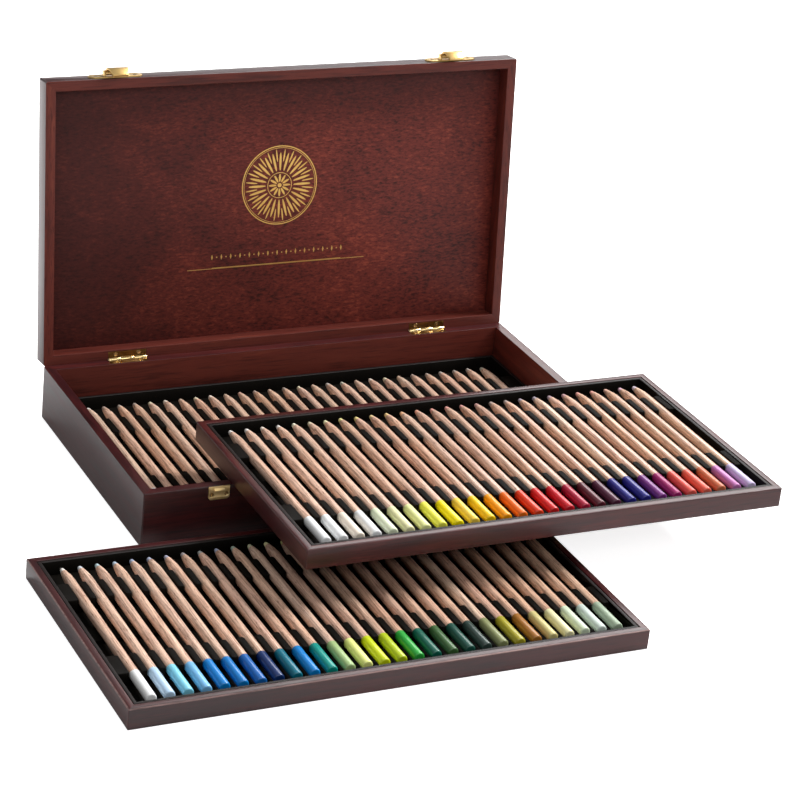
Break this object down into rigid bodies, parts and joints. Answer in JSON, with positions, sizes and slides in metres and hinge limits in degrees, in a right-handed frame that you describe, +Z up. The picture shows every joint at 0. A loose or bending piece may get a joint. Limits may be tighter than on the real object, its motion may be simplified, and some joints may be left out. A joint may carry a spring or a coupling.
{
  "type": "pencil presentation box",
  "caption": "Stained wooden presentation box with a hinged lid, brass clasps and lift-out trays of sharpened pastel pencils.",
  "frame": {"origin": "middle of the underside of the box", "axes": "+X to the right along the box's long side, +Y to the back, towards the hinges, +Z up"},
  "size_m": [0.5363, 0.4874, 0.2717],
  "materials": {
    "stained_wood": "dark red-brown stain under satin lacquer",
    "black_insert": "moulded, matte black",
    "polished_brass": "polished",
    "pencil_wood": "clear-lacquered cedar with coloured dipped ends"
  },
  "bodies": {
    "base": {"base_front_wall": "stained_wood", "base_back_wall": "stained_wood", "base_left_wall": "stained_wood", "base_right_wall": "stained_wood", "base_floor_panel": "stained_wood", "base_insert": "black_insert", "hinge_left_base_leaf": "polished_brass", "hinge_right_base_leaf": "polished_brass", "hinge_left_pin": "polished_brass", "hinge_right_pin": "polished_brass", "hinge_base_screws": "polished_brass", "catch_left_plate": "polished_brass", "catch_right_plate": "polished_brass", "catch_screws": "polished_brass"},
    "lid": {"lid_front_rail": "stained_wood", "lid_back_rail": "stained_wood", "lid_left_rail": "stained_wood", "lid_right_rail": "stained_wood", "lid_panel": "stained_wood", "hinge_left_lid_leaf": "polished_brass", "hinge_right_lid_leaf": "polished_brass", "hinge_lid_screws": "polished_brass", "clasp_left_plate": "polished_brass", "clasp_right_plate": "polished_brass", "clasp_left_pin": "polished_brass", "clasp_right_pin": "polished_brass", "clasp_screws": "polished_brass"},
    "clasp_left": {"clasp_left_lever": "polished_brass"},
    "clasp_right": {"clasp_right_lever": "polished_brass"},
    "upper_tray": {"upper_tray_front_rail": "stained_wood", "upper_tray_back_rail": "stained_wood", "upper_tray_left_rail": "stained_wood", "upper_tray_right_rail": "stained_wood", "upper_tray_floor_panel": "stained_wood", "upper_tray_insert": "black_insert"},
    "lower_tray": {"lower_tray_front_rail": "stained_wood", "lower_tray_back_rail": "stained_wood", "lower_tray_left_rail": "stained_wood", "lower_tray_right_rail": "stained_wood", "lower_tray_floor_panel": "stained_wood", "lower_tray_insert": "black_insert"},
    "base_pencil_row": {"base_pencils": "pencil_wood"},
    "upper_pencil_row": {"upper_tray_pencils": "pencil_wood"},
    "lower_pencil_row": {"lower_tray_pencils": "pencil_wood"}
  },
  "joints": [
    {"name": "lid_hinge", "type": "hinge", "parent": "base", "child": "lid", "pos_m": [0, 0.111, 0.04305], "axis": [1, 0, 0], "range_deg": [0, 96.15]},
    {"name": "clasp_left_swing", "type": "hinge", "parent": "lid", "child": "clasp_left", "pos_m": [-0.1407, 0.14166, 0.26645], "axis": [-1, 0, 0], "range_deg": [0, 80]},
    {"name": "clasp_right_swing", "type": "hinge", "parent": "lid", "child": "clasp_right", "pos_m": [0.1407, 0.14166, 0.26645], "axis": [-1, 0, 0], "range_deg": [0, 80]},
    {"name": "lower_tray_slide", "type": "slide", "parent": "base", "child": "lower_tray", "axis": [0, -1, 0], "range_m": [0, 0.22]},
    {"name": "upper_tray_slide", "type": "slide", "parent": "base", "child": "upper_tray", "axis": [0, -1, 0], "range_m": [0, 0.1]},
    {"name": "base_pencils_lift", "type": "slide", "parent": "base", "child": "base_pencil_row", "axis": [0, 0, 1], "range_m": [0, 0.02]},
    {"name": "upper_pencils_lift", "type": "slide", "parent": "upper_tray", "child": "upper_pencil_row", "axis": [0, 0, 1], "range_m": [0, 0.02]},
    {"name": "lower_pencils_lift", "type": "slide", "parent": "lower_tray", "child": "lower_pencil_row", "axis": [0, 0, 1], "range_m": [0, 0.02]}
  ],
  "couplings": [
    {"joint": "upper_tray_slide", "follows": "lid_hinge", "m_per_rad": 0.0595}
  ]
}
